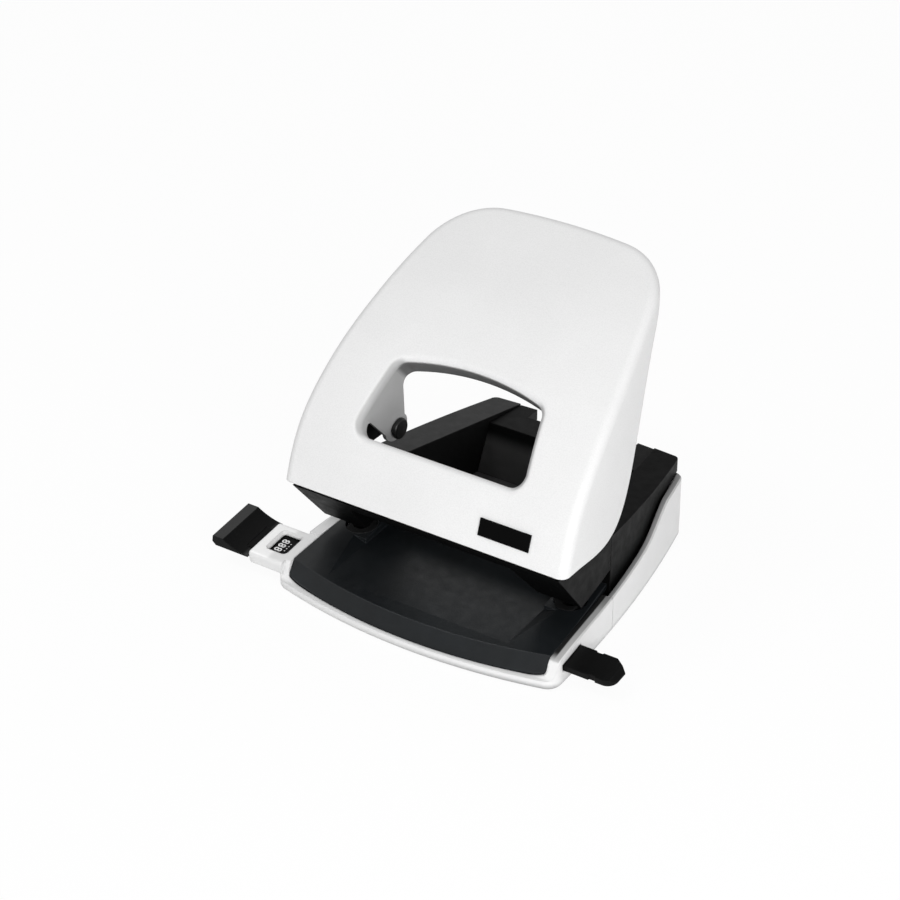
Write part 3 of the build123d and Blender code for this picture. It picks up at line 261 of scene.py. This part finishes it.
def white_paint():
    """Powder paint on the steel hood: a fine orange peel and a soft satin sheen, with painted shade on the
    faces that look inwards and down.
    """
    s = Shader("white_powder_paint")
    grain = s.noise(2600.0, 2.0, 0.5)
    colour = s.mottle(s.noise(26.0, 2.0), grey(0.75), grey(0.78))
    speck = s.ramp(grain, [(0.35, grey(0.945)), (0.6, grey(1.0))])
    colour = s.mix(1.0, colour, speck, "MULTIPLY")
    place = s.parts(s.place)
    facing = s.parts(s.facing)
    # Painted shade: faces that look inwards, towards the middle, are painted grey.
    shade_mottle = s.noise(60.0, 3.0)
    inward = s.math("MULTIPLY", s.math("SIGN", place[0]), facing[0])
    inward = s.step(s.math("MULTIPLY", inward, -1.0), 0.15, 0.6)
    colour = s.mix(inward, colour, s.mottle(shade_mottle, grey(0.4), grey(0.46)))
    # Painted shade: faces that look down are painted nearly black.
    under = s.step(s.math("MULTIPLY", facing[2], -1.0), 0.05, 0.4)
    colour = s.mix(under, colour, s.mottle(shade_mottle, grey(0.13), grey(0.17)))
    rough = s.spread(s.noise(180.0, 3.0), 0.42, 0.55)
    normal = s.bump(s.noise(900.0, 2.0), 0.04 * MM, 0.5, s.soft(0.4 * MM))
    normal = s.bump(grain, 0.02 * MM, 0.35, normal)
    return s.finish(colour, rough, normal, Specular_IOR_Level=0.35)


def base_inset(s, place):
    """How far a point lies inside the base's outline, below 0 outside it."""
    run = s.math("MULTIPLY", s.math("SUBTRACT", place[1], outline_front_y), 1.0 / outline_depth)
    half = s.math("SUBTRACT", outline_half, s.math("MULTIPLY", run, outline_draw))
    bow = s.math("MULTIPLY", s.math("MULTIPLY", run, run), outline_bow)
    return s.math("SUBTRACT", s.math("SUBTRACT", half, bow), s.math("ABSOLUTE", place[0]))


def white_plastic():
    """Moulded white plastic with a fine spark texture, painted shade on the wall's top and along the foot, and
    painted light on the housing's top.
    """
    s = Shader("white_moulded_plastic")
    drift = s.noise(40.0, 2.0)
    colour = s.mottle(drift, grey(0.755), grey(0.785))
    place = s.parts(s.place)
    facing = s.parts(s.facing)
    inset = base_inset(s, place)
    upward = s.step(facing[2], 0.6, 0.85)
    right = s.step(place[0], 30.0 * MM, 34.0 * MM)
    # Painted shade on the ledge: the rims' tops inside their rounded outer edge, at the rear and, weaker, on
    # the right.
    rear = s.step(place[1], -30.0 * MM, -12.0 * MM)
    ledge = s.both(upward, s.step(place[2], 5.8 * MM, 7.2 * MM))
    ledge = s.both(ledge, s.step(inset, 0.5 * MM, 0.9 * MM))
    ledge = s.both(ledge, s.math("MAXIMUM", rear, s.math("MULTIPLY", right, 0.7)))
    colour = s.mix(ledge, colour, s.mottle(s.noise(120.0, 3.0), grey(0.27), grey(0.33)))
    # Painted light on the top of the bar's housing, outside the outline, which is made paler.
    housing = s.both(s.step(inset, -3.0 * MM, -5.0 * MM), upward)
    colour = s.mix(housing, colour, s.mottle(drift, grey(0.93), grey(0.96)))
    # The right rim's inner strip, which lies in the table's shadow.
    strip = s.both(s.both(upward, right), s.step(inset, 2.2 * MM, 2.7 * MM))
    strip = s.both(strip, s.step(place[1], -46.0 * MM, -42.0 * MM))
    colour = s.mix(strip, colour, grey(0.012))
    # Painted shade along the foot, darker to the right on the front and even elsewhere.
    front = s.step(s.math("MULTIPLY", facing[1], -1.0), 0.2, 0.5)
    across = s.step(place[0], -50.0 * MM, 45.0 * MM)
    shade = s.mix(front, grey(0.62), s.ramp(across, [(0.0, grey(0.8)), (1.0, grey(0.42))]))
    foot = s.mix(s.step(place[2], 0.4 * MM, 2.8 * MM), shade, grey(1.0))
    colour = s.mix(1.0, colour, foot, "MULTIPLY")
    rough = s.spread(s.noise(220.0, 3.0), 0.4, 0.52)
    normal = s.bump(s.noise(3200.0, 2.0), 0.03 * MM, 0.3, s.soft(0.9 * MM))
    return s.finish(colour, rough, normal, Specular_IOR_Level=0.35)


def black_plastic(
    name, level, gloss, low, high, grain_size=2400.0, depth=0.05 * MM, blue=0.03, well_painted_light=None, pale_top=None
):
    """Moulded black plastic: fine texture, a slight change of tone and a painted highlight along its edges.
    Its last two arguments give the tone of painted light low down in a well, where it lies in shade, and of
    painted light on a flat top."""
    s = Shader(name)
    drift = s.noise(55.0, 3.0)
    colour = s.mottle(drift, grey(level * 0.85, blue), grey(level * 1.2, blue * 1.5))
    # Painted light: a paler tone low down in a well, which lies in shade.
    if well_painted_light:
        well_light_tone = s.mottle(s.noise(90.0, 4.0), grey(well_painted_light * 0.8), grey(well_painted_light))
        colour = s.mix(s.step(s.parts(s.place)[2], 24.0 * MM, 19.0 * MM), colour, well_light_tone)
    # Painted light: flat tops facing up are made paler.
    if pale_top:
        flat = s.step(s.parts(s.facing)[2], 0.97, 0.985)
        colour = s.mix(flat, colour, s.mottle(drift, grey(pale_top * 0.9), grey(pale_top)))
    # Painted highlight: sharp edges are made paler, standing in for the light on their rounding.
    edge_highlight = s.edges(0.6 * MM, 0.86, 0.985)
    colour = s.mix(edge_highlight, colour, grey(level * 2.6, blue))
    rough = s.spread(s.noise(300.0, 4.0), low, high)
    normal = s.bump(s.noise(grain_size, 2.0), depth, 0.4, s.soft(0.4 * MM))
    return s.finish(colour, rough, normal, Specular_IOR_Level=gloss)


def steel(name, level, low, high, stretch):
    """Drawn steel with fine lines along its length and a little staining."""
    s = Shader(name)
    lines = s.noise(420.0, 3.0, 0.6, stretch)
    stain = s.ramp(s.noise(70.0, 3.0), [(0.35, grey(level * 0.7)), (0.65, grey(level))])
    colour = s.mottle(lines, grey(level * 0.82), grey(level * 1.08))
    colour = s.mix(0.35, colour, stain, "MULTIPLY")
    rough = s.spread(lines, low, high)
    return s.finish(colour, rough, s.bump(lines, 0.03 * MM, 0.35), Metallic=1.0)


def ink(name, level):
    """Printed ink with a slightly uneven film."""
    s = Shader(name)
    film = s.noise(900.0, 3.0)
    colour = s.ramp(film, [(0.3, grey(level * 0.9)), (0.65, grey(level))])
    return s.finish(colour, s.spread(film, 0.4, 0.55))


paint = white_paint()
shell_white = white_plastic()
# Painted reflection: the left arm cover gets a lighter, glossier copy of the black plastic of the right cover
# and jaw, for the hood's white inside that it mirrors.
lighter_black = black_plastic("black_plastic_painted_lighter", 0.006, 0.4, 0.4, 0.52)
cover_black = black_plastic("black_cover_plastic", 0.0022, 0.05, 0.42, 0.54)
well_black = black_plastic("black_well_plastic", 0.004, 0.12, 0.42, 0.54, well_painted_light=0.1)
table_black = black_plastic("black_table_plastic", 0.007, 0.36, 0.32, 0.44, 1800.0, 0.06 * MM, 0.3)
bar_black = black_plastic("black_bar_plastic", 0.003, 0.08, 0.42, 0.54)
stop_black = black_plastic("black_stop_plastic", 0.003, 0.08, 0.42, 0.54, pale_top=0.045)
badge_black = black_plastic("black_badge_plate", 0.002, 0.03, 0.5, 0.6)
inner_black = black_plastic("black_inner_plastic", 0.005, 0.2, 0.5, 0.65)
bright_steel = steel("bright_drawn_steel", 0.62, 0.24, 0.4, (1.0, 1.0, 0.05))
cross_steel = steel("cross_drawn_steel", 0.6, 0.26, 0.42, (0.05, 1.0, 1.0))
dark_steel = steel("dark_blued_steel", 0.09, 0.34, 0.5, (1.0, 1.0, 0.2))
label_ink = ink("white_scale_ink", 0.78)

# The finish of each node. The punches and springs, which aren't listed, are bright steel.
finish_of = {
    "handle": paint,
    "left_hinge_lug": paint,
    "right_hinge_lug": paint,
    "front_frame": shell_white,
    "base_shell": shell_white,
    "paper_table": table_black,
    "bar_channel": inner_black,
    "bottom_cover": inner_black,
    "well_tray": well_black,
    "left_arm_cover": lighter_black,
    "right_arm_cover": cover_black,
    "jaw_cover": cover_black,
    "guide_bar": bar_black,
    "end_stop": stop_black,
    "badge_plate": badge_black,
    "left_die": inner_black,
    "right_die": inner_black,
    "left_guide_block": inner_black,
    "right_guide_block": inner_black,
    "pivot_axle": cross_steel,
    "cover_hinge_pin": cross_steel,
    "left_axle_clip": dark_steel,
    "right_axle_clip": dark_steel,
    "left_drive_pin": dark_steel,
    "right_drive_pin": dark_steel,
    "left_yoke": dark_steel,
    "right_yoke": dark_steel,
    "left_side_frame": cross_steel,
    "right_side_frame": cross_steel,
}
for name, node in nodes.items():
    node.data.materials.clear()
    node.data.materials.append(finish_of.get(name, bright_steel))


def show(name, data):
    """An object with this data, put in the scene."""
    made = bpy.data.objects.new(name, data)
    bpy.context.scene.collection.objects.link(made)
    return made


def piece(name, mesh, material, body):
    """A piece of the part that moves with a body."""
    made = show(name, mesh)
    mesh.materials.append(material)
    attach(made, body)
    return made


def on_bar(x, across):
    """A matrix at a place on the bar's top, with text there turned to read towards the front."""
    tilt = Matrix.Rotation(bar_tilt, 4, "X")
    base = Matrix.Translation((x, bar_y, bar_z)) @ tilt @ Matrix.Translation((0.0, across, 0.0))
    return base @ Matrix.Rotation(math.radians(-90.0), 4, "Z")


def digits(words):
    """A flat mesh of plain digits, centred on the origin."""
    curve = bpy.data.curves.new("mark", "FONT")
    curve.body = words
    curve.size = digit_size
    curve.space_character = digit_spacing
    curve.align_x = "CENTER"
    curve.align_y = "CENTER"
    curve.offset = digit_weight
    curve.extrude = ink_height
    curve.resolution_u = 6
    holder = show("mark", curve)
    bpy.context.view_layer.update()
    shaped = holder.evaluated_get(bpy.context.evaluated_depsgraph_get())
    mesh = bpy.data.meshes.new_from_object(shaped)
    bpy.data.objects.remove(holder)
    return mesh


def dots(name, x):
    """A row of dots across the bar."""
    made = bmesh.new()
    for index in range(dot_count):
        bmesh.ops.create_cone(
            made,
            cap_ends=True,
            segments=16,
            radius1=dot_foot_r,
            radius2=dot_top_r,
            depth=dot_depth,
            matrix=on_bar(x, dot_start + dot_pitch * index),
        )
    mesh = bpy.data.meshes.new(name)
    made.to_mesh(mesh)
    made.free()
    return mesh


def marks():
    """Plain numbers for the paper sizes, each with a row of dots beside it."""
    for words, step in mark_steps:
        mesh = digits(words)
        mesh.transform(on_bar(mark_x + step, digit_across))
        piece("guide_mark_" + words, mesh, label_ink, "guide_body")
        name = "guide_dots_" + words
        piece(name, dots(name, mark_x + dot_after + step), label_ink, "guide_body")


def springs():
    """The return springs, which shorten as the punches go down: each is a copy of its solid that rides on the
    base, with the solid hidden.
    """
    for side in ("left", "right"):
        solid = side + "_spring"
        mesh = nodes[solid].data.copy()
        mesh.materials.clear()
        coil = piece(side + "_spring_coil", mesh, bright_steel, "base")
        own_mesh(coil)
        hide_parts(solid)


def aim(thing, place, target):
    """Stands a lamp or camera at a place, facing a target."""
    thing.location = place
    thing.rotation_euler = (Vector(target) - Vector(place)).to_track_quat("-Z", "Y").to_euler()


def light(name, place, target, width, power):
    """A soft lamp with a wide face."""
    data = bpy.data.lights.new(name, "AREA")
    data.shape = "RECTANGLE"
    data.size = width
    data.size_y = lamp_depth
    data.energy = power
    aim(show(name, data), place, target)


def floor():
    """A plain pale floor that is seen as nearly white, with a faint shadow of the object on it."""
    mesh = bpy.data.meshes.new("floor")
    made = bmesh.new()
    bmesh.ops.create_grid(made, x_segments=1, y_segments=1, size=floor_reach)
    made.to_mesh(mesh)
    made.free()
    plane = show("floor", mesh)
    plane.location = (0.0, 0.0, -floor_drop)
    s = Shader("pale_floor")
    s.finish(s.mottle(s.noise(3.0), grey(0.88), grey(0.9)), 0.7, Specular_IOR_Level=0.1)
    glow = s.add("ShaderNodeEmission")
    socket(glow, "Strength", 1.0)
    path = s.add("ShaderNodeLightPath").outputs
    seen = s.math("MAXIMUM", path["Is Camera Ray"], path["Is Glossy Ray"])
    seen = s.math("MAXIMUM", seen, path["Is Transmission Ray"])
    blend = s.add("ShaderNodeMixShader")
    s.link(s.math("MULTIPLY", seen, floor_glow), blend.inputs[0])
    s.link(s.bsdf.outputs["BSDF"], blend.inputs[1])
    s.link(glow.outputs["Emission"], blend.inputs[2])
    s.link(blend.outputs[0], s.output.inputs["Surface"])
    mesh.materials.append(s.material)


def world():
    """An even white room that lights the object, and plain white where it is seen itself."""
    sky = bpy.data.worlds.new("studio")
    sky.use_nodes = True
    tree = sky.node_tree
    tree.nodes.clear()
    output = tree.nodes.new("ShaderNodeOutputWorld")
    path = tree.nodes.new("ShaderNodeLightPath")
    blend = tree.nodes.new("ShaderNodeMixShader")
    tree.links.new(path.outputs["Is Camera Ray"], blend.inputs[0])
    for index, strength in ((1, room_light), (2, 1.0)):
        room = tree.nodes.new("ShaderNodeBackground")
        socket(room, "Color", (1.0, 1.0, 1.0, 1.0))
        socket(room, "Strength", strength)
        tree.links.new(room.outputs[0], blend.inputs[index])
    tree.links.new(blend.outputs[0], output.inputs["Surface"])
    bpy.context.scene.world = sky


def camera():
    data = bpy.data.cameras.new("camera")
    data.lens = camera_lens
    data.sensor_width = camera_sensor
    data.clip_start = 0.01
    data.clip_end = 20.0
    made = show("camera", data)
    aim(made, camera_place, camera_target)
    bpy.context.scene.camera = made


marks()
springs()
camera()
world()
floor()
light("key", (0.5, -0.46, 0.3), (0.02, -0.01, 0.06), 0.4, 3.2)
light("fill", (-0.35, -0.42, 1.0), (0.0, 0.0, 0.04), 0.5, 2.6)
light("back", (-0.3, 0.7, 0.8), (0.0, 0.0, 0.05), 0.6, 0.6)
bpy.context.scene.view_settings.view_transform = "Standard"
